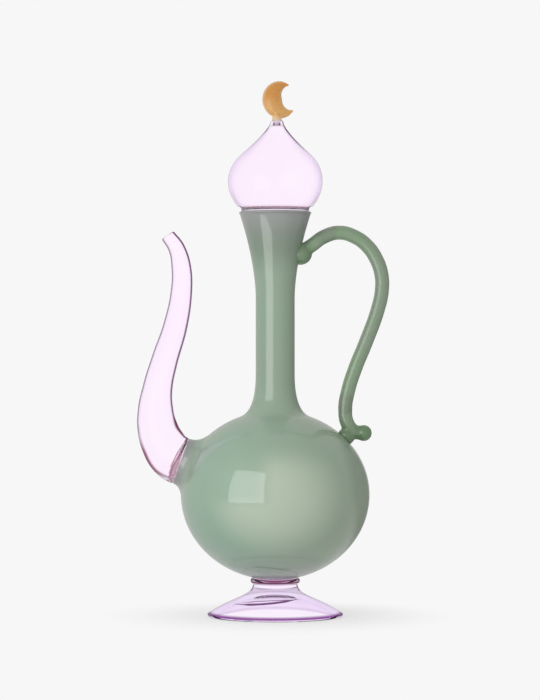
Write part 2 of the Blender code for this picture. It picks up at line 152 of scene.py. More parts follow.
def openLoops(shape):
    # the loops of edges that have a face on one side only
    left = {e for e in shape.edges if len(e.link_faces) == 1}
    loops = []
    while left:
        loop, front = [], [left.pop()]
        while front:
            edge = front.pop()
            loop.append(edge)
            near = {e for v in edge.verts for e in v.link_edges} & left
            left -= near
            front += near
        loops.append(loop)
    return loops


def cleanShape(shape):
    bmesh.ops.remove_doubles(shape, verts=shape.verts, dist=mergeReach)
    bmesh.ops.recalc_face_normals(shape, faces=shape.faces)


def meshOf(name, shape):
    mesh = bpy.data.meshes.new(name)
    shape.to_mesh(mesh)
    shape.free()
    return mesh


def addObject(name, data):
    item = bpy.data.objects.new(name, data)
    bpy.context.scene.collection.objects.link(item)
    return item


def fusedShape(shape, voxel, rounds, factors=(0.5, -0.53)):
    # joins overlapping solids into one skin and softens the joins, as flame does
    cleanShape(shape)
    mesh = meshOf("fusing", shape)
    helper = addObject("fusing", mesh)
    remesh = helper.modifiers.new("fuse", "REMESH")
    remesh.mode = "VOXEL"
    remesh.voxel_size = voxel
    fused = bmesh.new()
    fused.from_object(helper, bpy.context.evaluated_depsgraph_get())
    bpy.data.objects.remove(helper)
    bpy.data.meshes.remove(mesh)
    for factor in factors * rounds:  # smoothing out and back keeps thin ends from shrinking
        bmesh.ops.smooth_vert(
            fused, verts=fused.verts, factor=factor, use_axis_x=True, use_axis_y=True, use_axis_z=True
        )
    return fused


def finishPiece(name, shape, material, node, body, marks=None):
    # marks: attribute names with functions that give a vertex's value from its place and facing
    cleanShape(shape)
    shape.normal_update()
    values = {mark: [rule(v.co, v.normal) for v in shape.verts] for mark, rule in (marks or {}).items()}
    bmesh.ops.transform(shape, matrix=intoFrame, verts=shape.verts)
    openEdges = sum(1 for e in shape.edges if len(e.link_faces) != 2)
    mesh = meshOf(name, shape)
    for mark, numbers in values.items():
        mesh.attributes.new(mark, "FLOAT", "POINT").data.foreach_set("value", numbers)
    mesh.shade_smooth()
    mesh.materials.append(material)
    piece = addObject(name, mesh)
    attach(piece, body)
    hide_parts(node)
    print(name, "made with", len(mesh.polygons), "faces,", openEdges, "open edges")


# Materials
def setShader(shader, values):
    for name, value in values.items():
        shader.inputs[name].default_value = value


def addNode(tree, kind, inputs=None, **settings):
    # inputs are sockets to link or values to set, by the input's name or number
    node = tree.nodes.new(kind)
    for name, value in settings.items():
        setattr(node, name, value)
    for name, value in (inputs or {}).items():
        if isinstance(value, bpy.types.NodeSocket):
            tree.links.new(value, node.inputs[name])
        else:
            node.inputs[name].default_value = value
    return node


def mapped(tree, value, low, high, toLow=0.0, toHigh=1.0, smooth=True):
    limits = {"Value": value, "From Min": low, "From Max": high, "To Min": toLow, "To Max": toHigh}
    kind = "SMOOTHSTEP" if smooth else "LINEAR"
    return addNode(tree, "ShaderNodeMapRange", limits, interpolation_type=kind).outputs["Result"]


def maths(tree, operation, a, b=0.0):
    return addNode(tree, "ShaderNodeMath", {0: a, 1: b}, operation=operation).outputs[0]


def times(tree, a, b):
    return maths(tree, "MULTIPLY", a, b)


def vectorMaths(tree, operation, a, b=(0.0, 0.0, 0.0)):
    node = addNode(tree, "ShaderNodeVectorMath", {0: a, 1: b}, operation=operation)
    return node.outputs["Value" if operation in ("LENGTH", "DOT_PRODUCT") else "Vector"]


def mixColours(tree, share, a, b):
    a, b = (c if isinstance(c, bpy.types.NodeSocket) else (*c, 1) for c in (a, b))
    return addNode(tree, "ShaderNodeMix", {0: share, 6: a, 7: b}, data_type="RGBA").outputs[2]


def startMaterial(name):
    # "place" is where a point lies on its object
    material = bpy.data.materials.new(name)
    material.use_nodes = True
    tree = material.node_tree
    place = addNode(tree, "ShaderNodeTexCoord").outputs["Object"]
    return material, tree, tree.nodes["Principled BSDF"], place


def readMark(tree, name):
    return addNode(tree, "ShaderNodeAttribute", attribute_name=name).outputs["Fac"]


def facingOf(tree):
    return addNode(tree, "ShaderNodeLayerWeight", {"Blend": 0.5}).outputs["Facing"]


def noiseOn(tree, place, scale, detail, roughness=0.5):
    inputs = {"Vector": place, "Scale": scale, "Detail": detail, "Roughness": roughness}
    return addNode(tree, "ShaderNodeTexNoise", inputs).outputs["Fac"]


def outputOf(tree):
    return next(n for n in tree.nodes if n.type in ("OUTPUT_MATERIAL", "OUTPUT_WORLD"))


# Green glass: fresh and smoky tones at random, with painted light making it cool on the left and smoky and
# warm towards the handle; a painted glow where it faces the viewer; purple at the mouth and the stub
greenGlass = {
    "fresh": (0.254, 0.372, 0.280),
    "smoky": (0.285, 0.362, 0.268),
    # painted light: the smoky tone's share grows from left to right, cool where the soft box lights it and
    # warm away from it
    "sides": (0.05, 0.1, 0.9),  # how far left and right the two colours reach, and their shares there
    "cloudScale": 14.0,
    "cloudShare": 0.25,
    # a painted glow: paler where the body faces the viewer, below the neck, held back at the bulb's top
    # left
    "paintedGlow": (0.470, 0.545, 0.430),
    "paintedGlowShare": 0.72,
    "paintedGlowFacing": (0.0, 0.38),
    "paintedGlowLeft": (0.002, -0.016),
    "paintedGlowTop": (0.072, 0.084),
    "paintedGlowTopShare": 0.75,
    "neckZone": (0.098, 0.120),
    "neckDepth": (0.130, 0.160),
    "neckShade": 0.06,
    "bottomZone": (0.026, 0.044),
    "bottomShade": 0.12,
    "flareZones": ((0.222, 0.245), (0.252, 0.266)),
    "flareShade": 0.24,
    "plugTint": (0.285, 0.262, 0.290),
    "plugShare": 0.7,
    "mouthZone": (0.243, 0.266),
    # painted light on the inner skin: a paler colour and a faint glow for the light that comes through the
    # wall
    "paintedInnerLight": (0.420, 0.560, 0.450),
    "paintedInnerLightGlow": 0.2,
    "sheenRoughness": 0.42,
    "rippleScale": 45.0,
    "ripple": (0.15, 0.0004),
}


def opalSheen(tree, shader, cloud, roughness, spread, values):
    # what the opal glasses share: an uneven sheen, and light that scatters a little way in
    uneven = mapped(tree, cloud, 0.3, 0.7, roughness - spread, roughness + spread)
    tree.links.new(uneven, shader.inputs["Roughness"])
    setShader(shader, {"IOR": 1.47, "Subsurface Scale": 0.003, **values})


def makeGreenGlass():
    s = greenGlass
    material, tree, shader, place = startMaterial("green opal glass")
    parts = addNode(tree, "ShaderNodeSeparateXYZ", {"Vector": place}).outputs
    across, height = parts["X"], parts["Z"]
    cloud = noiseOn(tree, place, s["cloudScale"], 3.0, 0.45)
    milk = mapped(tree, cloud, 0.35, 0.65, -s["cloudShare"], s["cloudShare"])
    # painted light: the tone shifts from fresh on the left to smoky on the right
    reach, left, right = s["sides"]
    side = mapped(tree, across, axisX - reach, axisX + reach, left, right, smooth=False)
    colour = mixColours(tree, maths(tree, "ADD", milk, side), s["fresh"], s["smoky"])
    # painted glow, standing in for light glowing through and off the opal wall where the bulb faces the
    # viewer
    paintedGlow = mapped(tree, facingOf(tree), *s["paintedGlowFacing"], s["paintedGlowShare"], 0.0)
    paintedGlow = times(tree, paintedGlow, mapped(tree, height, *s["neckZone"], 1.0, 0.0))
    far, near = (axisX + reach for reach in s["paintedGlowLeft"][::-1])
    corner = mapped(tree, across, far, near, 1.0, 0.0)
    corner = times(tree, corner, mapped(tree, height, *s["paintedGlowTop"], 0.0, s["paintedGlowTopShare"]))
    paintedGlow = times(tree, paintedGlow, maths(tree, "SUBTRACT", 1.0, corner))
    colour = mixColours(tree, paintedGlow, colour, s["paintedGlow"])
    neck = mapped(tree, height, *s["neckDepth"], 0.0, s["neckShade"])
    bottom = mapped(tree, height, *s["bottomZone"], s["bottomShade"], 0.0)
    low, high = s["flareZones"]
    flare = mapped(tree, height, *low, 0.0, s["flareShade"])
    flare = times(tree, flare, mapped(tree, height, *high, 1.0, 0.0))
    deeper = maths(tree, "ADD", maths(tree, "ADD", neck, bottom), flare)
    colour = mixColours(tree, deeper, colour, (0.0, 0.0, 0.0))
    tint = maths(tree, "MAXIMUM", mapped(tree, height, *s["mouthZone"]), readMark(tree, "spigot"))
    colour = mixColours(tree, times(tree, tint, s["plugShare"]), colour, s["plugTint"])
    # the opal wall lets some light through; the inner skin shows it as painted light, paler and faintly
    # glowing, so the jug isn't dark inside
    inside = readMark(tree, "inside")
    colour = mixColours(tree, inside, colour, s["paintedInnerLight"])
    tree.links.new(colour, shader.inputs["Base Color"])
    tree.links.new(times(tree, inside, s["paintedInnerLightGlow"]), shader.inputs["Emission Strength"])
    ripple = noiseOn(tree, place, s["rippleScale"], 1.0)
    strength, depth = s["ripple"]
    bump = addNode(tree, "ShaderNodeBump", {"Height": ripple, "Strength": strength, "Distance": depth})
    tree.links.new(bump.outputs["Normal"], shader.inputs["Coat Normal"])
    opalSheen(tree, shader, cloud, s["sheenRoughness"], 0.04, {
        "Emission Color": (*s["paintedInnerLight"], 1),
        "Specular IOR Level": 0.15,
        "Coat Weight": 1.0,
        "Coat Roughness": 0.06,
        "Coat IOR": 1.6,
        "Subsurface Weight": 0.25,
        "Subsurface Radius": (0.6, 1.0, 0.7),
    })
    return material


rodGlass = {
    "fresh": (0.200, 0.300, 0.180),
    "smoky": (0.218, 0.288, 0.200),
    "thick": (0.100, 0.190, 0.085),
    "thickShare": 0.8,
    "cloudScale": 30.0,
    "sheenRoughness": 0.4,
}


def makeRodGlass():
    s = rodGlass
    material, tree, shader, place = startMaterial("green rod glass")
    cloud = noiseOn(tree, place, s["cloudScale"], 3.0)
    colour = mixColours(tree, mapped(tree, cloud, 0.35, 0.65), s["fresh"], s["smoky"])
    thick = times(tree, readMark(tree, "thick"), s["thickShare"])
    tree.links.new(mixColours(tree, thick, colour, s["thick"]), shader.inputs["Base Color"])
    opalSheen(tree, shader, cloud, s["sheenRoughness"], 0.04, {
        "Specular IOR Level": 0.35,
        "Coat Weight": 1.0,
        "Coat Roughness": 0.08,
        "Subsurface Weight": 0.3,
        "Subsurface Radius": (0.5, 1.0, 0.5),
    })
    return material


# Pink glass: "deep" is the wine red of thick places, and loops are marks in the foot's hollow, each as
# (shift to the right, radius, half width, half width with its soft edge, strength) in millimetres
pinkGlass = {
    "name": "pink clear glass",
    "thin": (0.998, 0.950, 1.0),
    "blush": (0.995, 0.930, 1.0),
    "turned": (0.900, 0.800, 0.960),
    "turnedZone": (0.45, 1.0),
    "edge": (0.085, 0.025, 0.075),
    "deep": (0.200, 0.018, 0.060),
    "edgeSoftness": 0.06,
    "absorbed": (0.97, 0.75, 0.99),
    "absorption": 20.0,
    "bending": 1.15,
    "loops": (),
}

footGlass = {
    **pinkGlass,
    "name": "pink foot glass",
    "thin": (0.975, 0.905, 1.0),
    "blush": (0.965, 0.885, 1.0),
    "turned": (0.890, 0.760, 0.980),
    "turnedZone": (0.5, 1.0),
    "edge": (0.040, 0.008, 0.045),
    "deep": (0.110, 0.014, 0.140),
    "absorbed": (0.92, 0.76, 0.99),
    "absorption": 9.0,
    "bending": 1.10,
    "loops": ((-5.3, 22.4, 1.1, 1.8, 1.0), (-3.8, 7.6, 0.3, 1.2, 0.35)),
}

collarGlass = {**footGlass, "name": "pink collar glass", "deep": (0.120, 0.010, 0.045), "loops": ()}


def makePinkGlass(s):
    # "edgeAt" is how far round a vertex's surface has to turn away before its rim is painted dark, as
    # painted shade for the dark edges of clear glass; "edgeDeep" how dark it gets, and "deep" the tint of
    # thick places
    material, tree, shader, place = startMaterial(s["name"])
    facing, edgeAt = facingOf(tree), readMark(tree, "edgeAt")
    start = maths(tree, "SUBTRACT", edgeAt, s["edgeSoftness"])
    end = maths(tree, "ADD", edgeAt, s["edgeSoftness"])
    rim = times(tree, mapped(tree, facing, start, end), readMark(tree, "edgeDeep"))
    streak = noiseOn(tree, place, 22.0, 2.0)
    colour = mixColours(tree, mapped(tree, streak, 0.3, 0.7), s["thin"], s["blush"])
    colour = mixColours(tree, mapped(tree, facing, *s["turnedZone"]), colour, s["turned"])
    colour = mixColours(tree, readMark(tree, "deep"), colour, s["deep"])
    # painted shade on the rims
    colour = mixColours(tree, rim, colour, s["edge"])
    hollow = readMark(tree, "hollow")
    for shift, radius, full, none, share in s["loops"]:
        # dark rings painted in the hollow, thinner at their left and right ends
        centred = vectorMaths(tree, "SUBTRACT", place, (axisX + shift * mm, 0, 0))
        away = vectorMaths(tree, "LENGTH", vectorMaths(tree, "MULTIPLY", centred, (1, 1, 0)))
        off = maths(tree, "ABSOLUTE", maths(tree, "SUBTRACT", away, radius * mm))
        across = addNode(tree, "ShaderNodeSeparateXYZ", {"Vector": centred}).outputs["X"]
        side = maths(tree, "ABSOLUTE", times(tree, across, 1 / (radius * mm)))
        off = times(tree, off, mapped(tree, side, 0.5, 1.0, 1.0, 4.5))
        line = times(tree, mapped(tree, off, full * mm, none * mm, share, 0.0), hollow)
        colour = mixColours(tree, line, colour, s["edge"])
    tree.links.new(colour, shader.inputs["Base Color"])
    bump = addNode(tree, "ShaderNodeBump", {"Height": streak, "Strength": 0.08, "Distance": 0.0003})
    tree.links.new(bump.outputs["Normal"], shader.inputs["Normal"])
    setShader(shader, {"Roughness": 0.0, "IOR": s["bending"], "Transmission Weight": 1.0})
    tint = {"Color": (*s["absorbed"], 1), "Density": s["absorption"]}
    volume = addNode(tree, "ShaderNodeVolumeAbsorption", tint).outputs["Volume"]
    tree.links.new(volume, outputOf(tree).inputs["Volume"])
    return material


moonGlass = {
    "lower": (0.660, 0.360, 0.100),
    "upper": (0.600, 0.265, 0.050),
    "upperZone": (0.333, 0.345),
    "stem": (0.800, 0.580, 0.400),
    "stemZone": (0.3270, 0.3310),
    # a painted sheen: paler where the moon turns away from the viewer
    "pale": (0.800, 0.560, 0.340),
    "paintedSheenFacing": (0.05, 0.45),
    "paintedSheenShare": 0.55,
    "cloudScale": 120.0,
    "cloudShare": 0.2,
    "sheenRoughness": 0.45,
}


def makeMoonGlass():
    s = moonGlass
    material, tree, shader, place = startMaterial("orange opal glass")
    height = addNode(tree, "ShaderNodeSeparateXYZ", {"Vector": place}).outputs["Z"]
    cloud = noiseOn(tree, place, s["cloudScale"], 3.0)
    colour = mixColours(tree, mapped(tree, height, *s["upperZone"]), s["lower"], s["upper"])
    colour = mixColours(tree, mapped(tree, cloud, 0.4, 0.8, 0.0, s["cloudShare"]), colour, s["lower"])
    colour = mixColours(tree, mapped(tree, height, *s["stemZone"]), s["stem"], colour)
    # painted sheen, standing in for light off the moon's rims
    pale = mapped(tree, facingOf(tree), *s["paintedSheenFacing"], 0.0, s["paintedSheenShare"])
    tree.links.new(mixColours(tree, pale, colour, s["pale"]), shader.inputs["Base Color"])
    opalSheen(tree, shader, cloud, s["sheenRoughness"], 0.05, {
        "Specular IOR Level": 0.4,
        "Coat Weight": 0.5,
        "Coat Roughness": 0.14,
        "Subsurface Weight": 0.4,
        "Subsurface Radius": (1.0, 0.5, 0.2),
    })
    return material


green = makeGreenGlass()
rodGreen = makeRodGlass()
pink = makePinkGlass(pinkGlass)
footPink = makePinkGlass(footGlass)
collarPink = makePinkGlass(collarGlass)
orange = makeMoonGlass()
print("materials ready")


# Body: bulb, neck and flared mouth in one blown wall, drawn out to a stub for the spout
jug = {
    "bulbRadius": 62.3,
    "bulbBottom": 23.9,
    "bulbDrop": 56.3,
    "bulbRise": 55.4,
    "wall": 2.5,
    "shoulderRadius": 23.3,
    "shoulderBlend": 24.4,
    "neckRadius": 12.9,
    "mouthRadius": 24.0,
    "flareLength": 57.0,
    "flarePower": 1.7,
    "lipRound": 1.4,
    "boreRound": 0.9,
    "steps": 192,
}
jug["middle"] = jug["bulbBottom"] + jug["bulbDrop"]
jug["flareStart"] = mouthHeight - jug["flareLength"]

stub = {
    "rise": math.radians(19.5),
    "length": 4.6,
    "radius": 15.8,
    "wall": 2.3,
    "flare": 7.4,
    "lipRound": 0.5,
    "steps": 112,
    "margin": 1.2,
    "tintDepth": (2.5, 8.0),
}


def flareRadius(height):
    share = min(max((height - jug["flareStart"]) / jug["flareLength"], 0), 1)
    return jug["neckRadius"] + (jug["mouthRadius"] - jug["neckRadius"]) * share ** jug["flarePower"]


def bodyOutline():
    s = jug
    shoulder = math.acos(s["shoulderRadius"] / s["bulbRadius"])
    outline = ovalArc(s["bulbRadius"], s["middle"], s["bulbDrop"], -math.pi / 2, 0, 44)
    outline += ovalArc(s["bulbRadius"], s["middle"], s["bulbRise"], 0, shoulder, 34)[1:]
    start = outline[-1]
    fall = s["bulbRise"] / s["bulbRadius"] / math.tan(shoulder)
    corner = (s["neckRadius"], start.y + (start.x - s["neckRadius"]) * fall)
    neckFoot = (s["neckRadius"], s["middle"] + s["bulbRise"] + s["shoulderBlend"])
    outline += bezierCurve([start, corner, neckFoot], 20)[1:]
    heights = [neckFoot[1] + (s["flareStart"] - neckFoot[1]) * i / 24 for i in range(1, 24)]
    heights += [s["flareStart"] + s["flareLength"] * i / 40 for i in range(41)]
    outline += [Vector((flareRadius(height), height)) for height in heights]
    outline[0].x = 0
    return outline


stubWay = Vector((-math.cos(stub["rise"]), 0, math.sin(stub["rise"])))
bulbMiddle = Vector((0, 0, jug["middle"]))
stubReach = 1 / math.hypot(stubWay.x / jug["bulbRadius"], stubWay.z / jug["bulbRise"]) + stub["length"]
joint = bulbMiddle + stubWay * stubReach


def fromStub(point):
    # (distance from the stub's line, distance along it past the joint)
    off = point - joint
    depth = off.dot(stubWay)
    return (off - stubWay * depth).length, depth


def ontoBulb(point, inset):
    # slides a point along the stub's line until it lies on the bulb
    for _ in range(3):
        tall = (jug["bulbRise"] if point.z > jug["middle"] else jug["bulbDrop"]) - inset
        wide = jug["bulbRadius"] - inset
        squash = Vector((1 / wide, 1 / wide, 1 / tall))
        p = (point - bulbMiddle) * squash
        w = stubWay * squash
        b, c = p.dot(w), p.dot(p) - 1
        point = point + stubWay * ((-b + math.sqrt(max(b * b - w.dot(w) * c, 0))) / w.dot(w))
    return point


def makeBody():
    s = jug
    outer = bodyOutline()
    inner = shiftRight(outer, -s["wall"])
    inner[0] = Vector((0, s["bulbBottom"] + s["wall"]))
    lip = s["lipRound"]
    top = outer[-1]
    while outer[-1].y > mouthHeight - lip:
        outer.pop()
    while inner[-1].y > mouthHeight - s["boreRound"]:
        inner.pop()
    rounding = [(top.x - 0.1, mouthHeight - lip), (top.x, mouthHeight), (top.x - lip, mouthHeight)]
    edge = bezierCurve(rounding, 8)
    hole, turn = top.x - s["wall"], s["boreRound"]
    rounding = [(hole + turn, mouthHeight), (hole, mouthHeight), (hole, mouthHeight - turn)]
    edge += bezierCurve(rounding, 6)
    shape = bmesh.new()
    turnOutline(shape, outer + edge + inner[::-1], s["steps"])

    # the opening for the stub, through the outer and the inner skin
    root = stub["radius"] + stub["flare"]
    bore = stub["radius"] - stub["wall"]
    unwanted = []
    for face in shape.faces:
        middle = face.calc_center_median()
        if middle.x > 0:
            continue
        off = middle - bulbMiddle
        off.z = off.z * s["bulbRadius"] / (s["bulbRise"] if off.z > 0 else s["bulbDrop"])
        limit = root if off.length > s["bulbRadius"] - s["wall"] / 2 else bore
        if fromStub(middle)[0] < limit + stub["margin"]:
            unwanted.append(face)
    bmesh.ops.delete(shape, geom=unwanted, context="FACES")

    # the stub: drawn-out flare, rounded end and straight bore
    fillet = stub["lipRound"]
    rootDepth = fromStub(ontoBulb(joint + stubWay.orthogonal().normalized() * root, 0))[1]
    slope = root / math.sqrt(s["bulbRadius"] ** 2 - root ** 2)
    bend = rootDepth + stub["flare"] * slope
    flare = bezierCurve([(root, rootDepth), (stub["radius"], bend), (stub["radius"], -fillet)], 22)
    rim = bezierCurve([(stub["radius"], -fillet), (stub["radius"], 0), (stub["radius"] - fillet, 0)], 4)
    rim += bezierCurve([(bore + fillet, 0), (bore, 0), (bore, -fillet)], 4)
    down = [Vector((bore, -fillet - (2 - rootDepth) * i / 6)) for i in range(1, 7)]
    tube = bmesh.new()
    turnOutline(tube, flare + rim[1:] + down, stub["steps"], joint, stubWay)
    for vertex in tube.verts:
        away, depth = fromStub(vertex.co)
        if away > stub["radius"] + 0.001:
            share = ((away - stub["radius"]) / stub["flare"]) ** 0.5
            sideways = vertex.co - joint - stubWay * depth
            atRoot = ontoBulb(joint + sideways * (root / away) + stubWay * rootDepth, 0)
            vertex.co += stubWay * ((fromStub(atRoot)[1] - rootDepth) * share)
        elif depth < down[-1].y + 0.1:
            vertex.co = ontoBulb(vertex.co, s["wall"])
    mesh = meshOf("stub", tube)
    shape.from_mesh(mesh)
    bpy.data.meshes.remove(mesh)

    loops = sorted(openLoops(shape), key=lambda loop: max(fromStub(v.co)[0] for e in loop for v in e.verts))
    bmesh.ops.bridge_loops(shape, edges=loops[0] + loops[1])
    bmesh.ops.bridge_loops(shape, edges=loops[2] + loops[3])

    def spigotTint(point, facing):
        away, depth = fromStub(point)
        if point.x > 0 or away > stub["radius"] + stub["flare"]:
            return 0.0
        return 1 - smoothStep(*stub["tintDepth"], -depth)

    # the inner skin, which the green glass paints paler and faintly glowing as painted light
    def inside(point, facing):
        if point.z > mouthHeight - s["boreRound"]:
            return 0.0
        away, depth = fromStub(point)
        if point.x < 0 and away < root and depth > rootDepth - 2:
            return 1.0 if away < bore + 0.1 else 0.0
        fromAxis = point - Vector((0, 0, max(point.z, s["middle"])))
        return 1.0 if facing.dot(fromAxis) < 0 else 0.0

    marks = {"spigot": spigotTint, "inside": inside}
    finishPiece("body_glass", shape, green, "body", "vessel", marks)


makeBody()


# Spout: S-curved tube with a thick root and a short spigot inside the stub
spout = {
    "wall": 1.3,
    "rootWall": 3.6,
    "spigotLength": 7.0,
    "clearance": 0.4,
    "gap": 0.3,
    "sides": 120,
    "stepsPerKnot": 12,
    "rootRound": 0.6,
    "lipRound": 0.6,
    "rightLine": 1.2,
    "leftLine": 0.85,
    "leftDepth": 0.95,
    "leftLow": 0.35,
    "softLeft": (112.0, 124.0),
    "jointStreak": (0.5, 3.8),
    "bellyZones": ((-1.0, -0.75), (-0.5, 0.9)),
    "rightStreak": (116.0, 134.0, 8.5),
    "leftStreak": (82.0, 122.0, 7.5),
    "streakCore": 0.4,
    "streakShare": 0.62,
    "route": [
        (0.0, 0.0, 15.8), (-6.6, 4.3, 15.6), (-11.6, 11.4, 14.7), (-15.4, 21.5, 13.4),
        (-16.8, 33.0, 11.8), (-15.4, 48.5, 9.8), (-11.0, 66.0, 8.8), (-3.8, 89.0, 8.0),
        (0.2, 111.2, 7.1), (0.2, 128.0, 6.5), (-3.1, 140.9, 5.5), (-8.4, 148.6, 4.8),
    ],
}


def makeSpout():
    s = spout
    knots = [joint + stubWay * s["gap"]]
    knots += [joint + Vector((out, 0, up)) for out, up, _ in s["route"][1:]]
    radii = [radius for _, _, radius in s["route"]]
    walls = [s["rootWall"]] + [s["wall"]] * (len(radii) - 1)
    route = smoothRoute(knots, s["stepsPerKnot"], stubWay)
    spigotRadius = stub["radius"] - stub["wall"] - s["clearance"]
    boreRadius = radii[0] - s["rootWall"]
    gap, rounding, end = s["gap"], s["rootRound"], -s["spigotLength"]

    rings = [(joint + stubWay * (gap + end + 0.5), stubWay, boreRadius)]
    for radius, depth in (
        (boreRadius, end + 0.3),
        (boreRadius + 0.2, end),
        (spigotRadius - 0.2, end),
        (spigotRadius, end + 0.3),
        (spigotRadius, end / 2),
        (spigotRadius, gap - 0.05),
        (spigotRadius + 0.3, gap),
        (radii[0] - rounding, gap),
        (radii[0] - rounding * 0.3, gap + rounding * 0.3),
    ):
        rings.append((joint + stubWay * depth, stubWay, radius))
    for place, way, at in route:
        if (place - knots[0]).length > rounding:
            rings.append((place, way, along(radii, at)))
    tip, tipWay, _ = rings[-1]
    lipRadius = radii[-1] - s["wall"] / 2
    for turn in (30, 60, 90, 120, 150):
        a = math.radians(turn)
        ring = lipRadius + s["wall"] / 2 * math.cos(a)
        rings.append((tip + tipWay * (s["lipRound"] * math.sin(a)), tipWay, ring))
    for place, way, at in route[::-1]:
        rings.append((place, way, along(radii, at) - along(walls, at)))
    shape = bmesh.new()
    first, last = ringTube(shape, rings, s["sides"])
    bmesh.ops.bridge_loops(shape, edges=first + last)

    tree = KDTree(len(route))
    for i, step in enumerate(route):
        tree.insert(step[0], i)
    tree.balance()

    def nearest(point):
        # (radius of the tube there, distance from its line, how far right of it from -1 to 1)
        place, way, at = route[tree.find((point.x, 0, point.z))[1]]
        off = point - place
        off -= way * off.dot(way)
        radius = along(radii, at)
        return radius, off.length, (off.x * way.z - off.z * way.x) / radius

    def edgeAt(point, facing):
        radius, _, right = nearest(point)
        return rimStart(s["rightLine"] if right > 0 else s["leftLine"], radius)

    # painted shade on the rims: full on the right side, weaker on the left and weakest low down
    def edgeDeep(point, facing):
        radius, away, right = nearest(point)
        if fromStub(point)[1] < s["gap"] + 0.2 or away < radius - s["wall"] / 2:
            return 0.0
        if right > 0:
            return 1.0
        return s["leftDepth"] * (s["leftLow"] + (1 - s["leftLow"]) * smoothStep(*s["softLeft"], point.z))

    def deep(point, facing):
        # wine-red streaks where the wall is thick: round the joint, above it and along the belly
        radius, away, right = nearest(point)
        depth = fromStub(point)[1]
        if away < radius - s["wall"] / 2:
            return 0.0
        narrow, wide = s["jointStreak"]
        start, end = s["bellyZones"]
        belly = smoothStep(*start, right) * (1 - smoothStep(*end, right))
        reach = narrow + (wide - narrow) * belly
        streak = s["streakShare"] * (1 - smoothStep(reach - 0.3, reach, depth))
        outline = 1 - smoothStep(0.3, 0.7, abs(depth - reach))
        # a tear-shaped streak on the side towards the neck, and a longer one along the belly
        low, high, half = s["rightStreak"] if right > 0 else s["leftStreak"]
        oval = math.hypot((2 * point.z - low - high) / (high - low), point.y / half)
        tear = 1 - smoothStep(s["streakCore"], 1, oval)
        return max(streak, outline, tear)

    marks = {"edgeAt": edgeAt, "edgeDeep": edgeDeep, "deep": deep}
    finishPiece("spout_glass", shape, pink, "spout", "vessel", marks)


makeSpout()


# Handle: drawn rod with a boss on the neck, a pad on the bulb and a knob at its free end
handle = {
    "rod": 4.68,
    "belowMouth": 28.0,
    "seatRadius": 46.8,
    "neckFrom": 20.0,  # above the bulb's top, where the rod meets the neck and no longer the bulb
    "bossHalf": (7.8, 7.6, 7.2),
    "knob": 5.3,
    "pad": 5.7,
    "padHeight": 1.8,
    "sunk": 1.0,
    "taper": 0.5,
    "taperSteps": 14,
    "melt": 0.15,
    "thickZone": (5.0, 13.0),
    "sides": 48,
    "stepsPerKnot": 12,
    "voxel": 0.44,
    "smoothing": 16,
    "upperLoop": [
        (1.0, 1.5), (7.8, 5.8), (15.4, 11.2), (25.8, 14.1), (36.4, 11.2),
        (44.6, 5.0), (50.2, -3.2), (53.6, -13.0), (54.0, -24.0), (51.2, -37.0),
    ],
    "lowerCurl": [
        (12.6, 62.8), (6.1, 46.9), (1.2, 31.4), (-0.6, 19.4), (1.0, 10.1), (5.5, 5.0), (11.6, 4.0),
    ],
}


def addBall(shape, place, halves):
    matrix = Matrix.Translation(place) @ Matrix.Diagonal((*halves, 1))
    bmesh.ops.create_uvsphere(shape, u_segments=32, v_segments=16, radius=1, matrix=matrix)


def makeHandle():
    s = handle
    topHeight = mouthHeight - s["belowMouth"]
    top = Vector((flareRadius(topHeight), 0, topHeight))
    share = s["seatRadius"] / jug["bulbRadius"]
    low = Vector((s["seatRadius"], 0, jug["middle"] + jug["bulbRise"] * math.sqrt(1 - share**2)))
    knots = [top + Vector((out, 0, up)) for out, up in s["upperLoop"]]
    knots += [low + Vector((out, 0, up)) for out, up in s["lowerCurl"]]
    route = smoothRoute(knots, s["stepsPerKnot"])

    def addRod(shape, part, taper=0.0):
        last = len(part) - 1
        rings = []
        for i, (place, way, _) in enumerate(part):
            slimmer = taper * (1 - smoothStep(0, s["taperSteps"], min(i, last - i)))
            rings.append((place, way, s["rod"] - slimmer))
        for edges in ringTube(shape, rings, s["sides"]):
            bmesh.ops.contextual_create(shape, geom=edges)

    # the two ends, each melted into one lump with its boss or its pad and knob
    shape = bmesh.new()
    steps = s["stepsPerKnot"]
    addRod(shape, route[: 3 * steps])
    addBall(shape, top, [half + s["melt"] for half in s["bossHalf"]])
    addRod(shape, route[-4 * steps:])
    addBall(shape, knots[-1], [s["knob"] + s["melt"]] * 3)
    addBall(shape, low + Vector((0, 0, s["padHeight"])), [s["pad"] + s["melt"]] * 3)
    shape = fusedShape(shape, s["voxel"], s["smoothing"], (0.5,))
    addRod(shape, route[steps: -2 * steps], s["taper"])
    for vertex in shape.verts:
        p = vertex.co
        away = math.hypot(p.x, p.y)
        if p.z > jug["middle"] + jug["bulbRise"] + s["neckFrom"]:
            limit = flareRadius(p.z) - s["sunk"]
            if away < limit:
                p.x, p.y = p.x * limit / away, p.y * limit / away
        else:
            wide, tall = jug["bulbRadius"] - s["sunk"], jug["bulbRise"] - s["sunk"]
            inside = math.hypot(away / wide, (p.z - jug["middle"]) / tall)
            if inside < 1:
                vertex.co = bulbMiddle + (p - bulbMiddle) / inside
    seats = (top, low, knots[-1])

    def thick(point, facing):
        return max(1 - smoothStep(*s["thickZone"], (point - seat).length) for seat in seats)

    finishPiece("handle_glass", shape, rodGreen, "handle", "vessel", {"thick": thick})


makeHandle()


